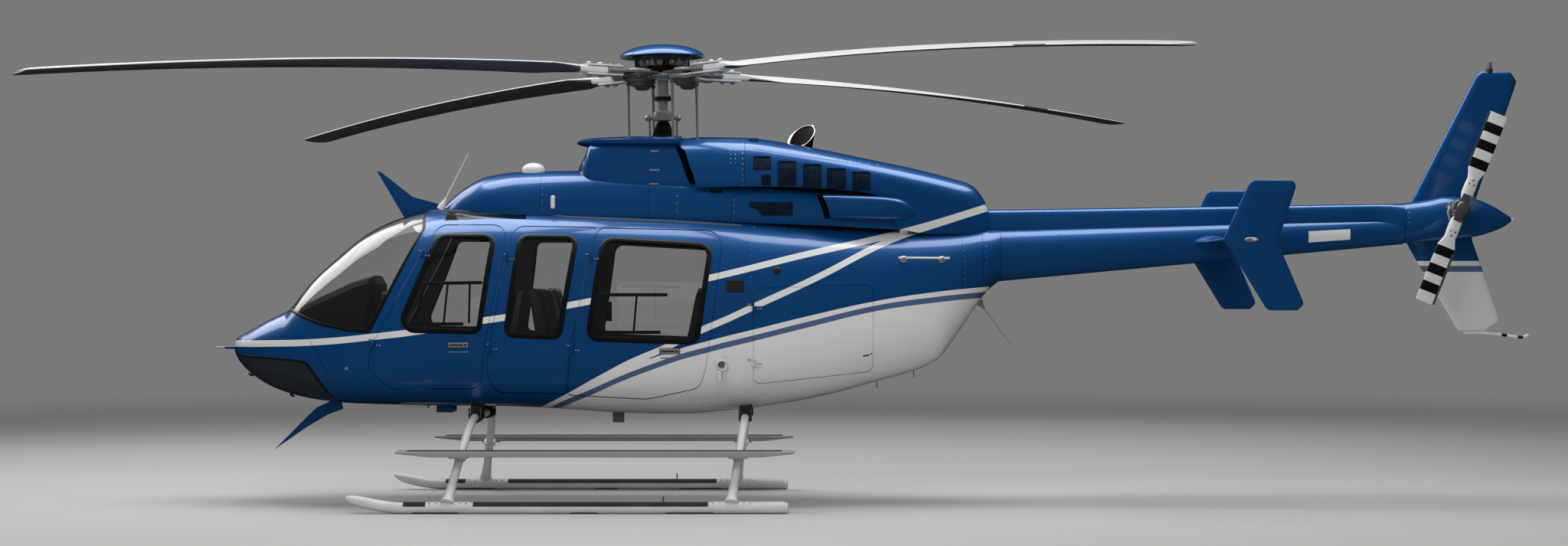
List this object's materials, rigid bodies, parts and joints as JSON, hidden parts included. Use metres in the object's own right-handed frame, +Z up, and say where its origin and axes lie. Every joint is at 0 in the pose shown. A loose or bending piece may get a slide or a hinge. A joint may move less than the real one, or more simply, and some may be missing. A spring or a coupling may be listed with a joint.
{
  "type": "helicopter",
  "caption": "Light single-engine helicopter on high skids with four-bladed main rotor, side tail rotor, hinged cabin doors and a baggage door.",
  "frame": {"origin": "on the ground, on the centre plane, at the middle of the whole machine's length with the rotor parked as it is", "axes": "+X aft along the fuselage, +Y to the machine's right side, +Z up"},
  "size_m": [11.2285, 8.4118, 3.673],
  "materials": {
    "blue_skin": "deep blue metallic enamel under clear lacquer",
    "blue_composite": "deep blue metallic enamel over composite",
    "glazing": "clear and lightly tinted acrylic",
    "grey_trim": "grey trim and floor covering",
    "black_panel": "matt black moulding",
    "seat_cover": "grey woven covers",
    "cast_housing": "plain cast housing",
    "hot_steel": "heat-tinted steel",
    "rotor_metal": "grey painted and machined metal",
    "blade_white": "white enamel over composite",
    "gear_white": "white enamel on tube",
    "step_metal": "plain and painted sheet"
  },
  "bodies": {
    "airframe": {"nose_shell": "blue_skin", "belly_tub": "blue_skin", "cabin_roof": "blue_skin", "door_post_left": "blue_skin", "side_panel_right": "blue_skin", "aft_fuselage": "blue_skin", "roof_fairing": "blue_skin", "mast_fairing": "blue_skin", "engine_cowling": "blue_skin", "tail_boom": "blue_skin", "drive_shaft_cover": "blue_skin", "tail_cone": "blue_composite", "vertical_fin": "blue_composite", "stabilizer": "blue_composite", "endplate_left": "blue_composite", "endplate_right": "blue_composite", "windshield": "glazing", "chin_window_left": "glazing", "chin_window_right": "glazing", "roof_window": "glazing", "side_window_right": "glazing", "cabin_floor": "grey_trim", "instrument_panel": "black_panel", "pilot_seat": "seat_cover", "copilot_seat": "seat_cover", "club_seats": "seat_cover", "rear_bench": "seat_cover", "engine_and_gearbox": "cast_housing", "exhaust_stack": "hot_steel", "cross_tube_front": "gear_white", "cross_tube_rear": "gear_white", "skid_left": "gear_white", "skid_right": "gear_white", "step_left": "step_metal", "step_right": "step_metal", "tail_skid": "step_metal", "wire_cutter_upper": "step_metal", "wire_cutter_lower": "step_metal"},
    "crew_door_left_body": {"crew_door_left": "blue_skin", "crew_window_left": "glazing"},
    "litter_door_left_body": {"litter_door_left": "blue_skin", "litter_window_left": "glazing"},
    "passenger_door_left_body": {"passenger_door_left": "blue_skin", "passenger_window_left": "glazing"},
    "crew_door_right_body": {"crew_door_right": "blue_skin", "crew_window_right": "glazing"},
    "passenger_door_right_body": {"passenger_door_right": "blue_skin", "passenger_window_right": "glazing"},
    "baggage_door_left_body": {"baggage_door_left": "blue_skin"},
    "main_rotor": {"rotor_head": "rotor_metal", "hub_cap": "blue_composite", "swashplate_rotating": "rotor_metal", "rotor_blade_1": "blade_white", "rotor_blade_2": "blade_white", "rotor_blade_3": "blade_white", "rotor_blade_4": "blade_white"},
    "tail_rotor_body": {"tail_rotor": "blade_white"}
  },
  "joints": [
    {"name": "main_rotor_spin", "type": "hinge", "parent": "airframe", "child": "main_rotor", "pos_m": [-1.466, 0, 3.445], "axis": [-0.0175, 0, 0.9998], "continuous": true},
    {"name": "tail_rotor_spin", "type": "hinge", "parent": "airframe", "child": "tail_rotor_body", "pos_m": [4.882, -0.36, 2.347], "axis": [0, 1, 0], "continuous": true},
    {"name": "crew_door_left_hinge", "type": "hinge", "parent": "airframe", "child": "crew_door_left_body", "pos_m": [-3.69218, -0.72855, 1.27], "axis": [-0.4683, -0.0788, -0.88], "range_deg": [0, 75]},
    {"name": "litter_door_left_hinge", "type": "hinge", "parent": "airframe", "child": "litter_door_left_body", "pos_m": [-2.779, -0.77482, 1.24], "axis": [0.1784, 0.0798, 0.9807], "range_deg": [-80, 0]},
    {"name": "passenger_door_left_hinge", "type": "hinge", "parent": "litter_door_left_body", "child": "passenger_door_left_body", "pos_m": [-2.13901, -0.77854, 1.23], "axis": [-0.1957, -0.0799, -0.9774], "range_deg": [0, 80]},
    {"name": "crew_door_right_hinge", "type": "hinge", "parent": "airframe", "child": "crew_door_right_body", "pos_m": [-3.69218, 0.72855, 1.27], "axis": [0.4683, -0.0788, 0.88], "range_deg": [0, 75]},
    {"name": "passenger_door_right_hinge", "type": "hinge", "parent": "airframe", "child": "passenger_door_right_body", "pos_m": [-2.13901, 0.77854, 1.23], "axis": [0.1957, -0.0799, 0.9774], "range_deg": [0, 80]},
    {"name": "baggage_door_left_hinge", "type": "hinge", "parent": "airframe", "child": "baggage_door_left_body", "pos_m": [-0.724, -0.70499, 1.12], "axis": [0, 0.0756, -0.9971], "range_deg": [0, 80]}
  ]
}
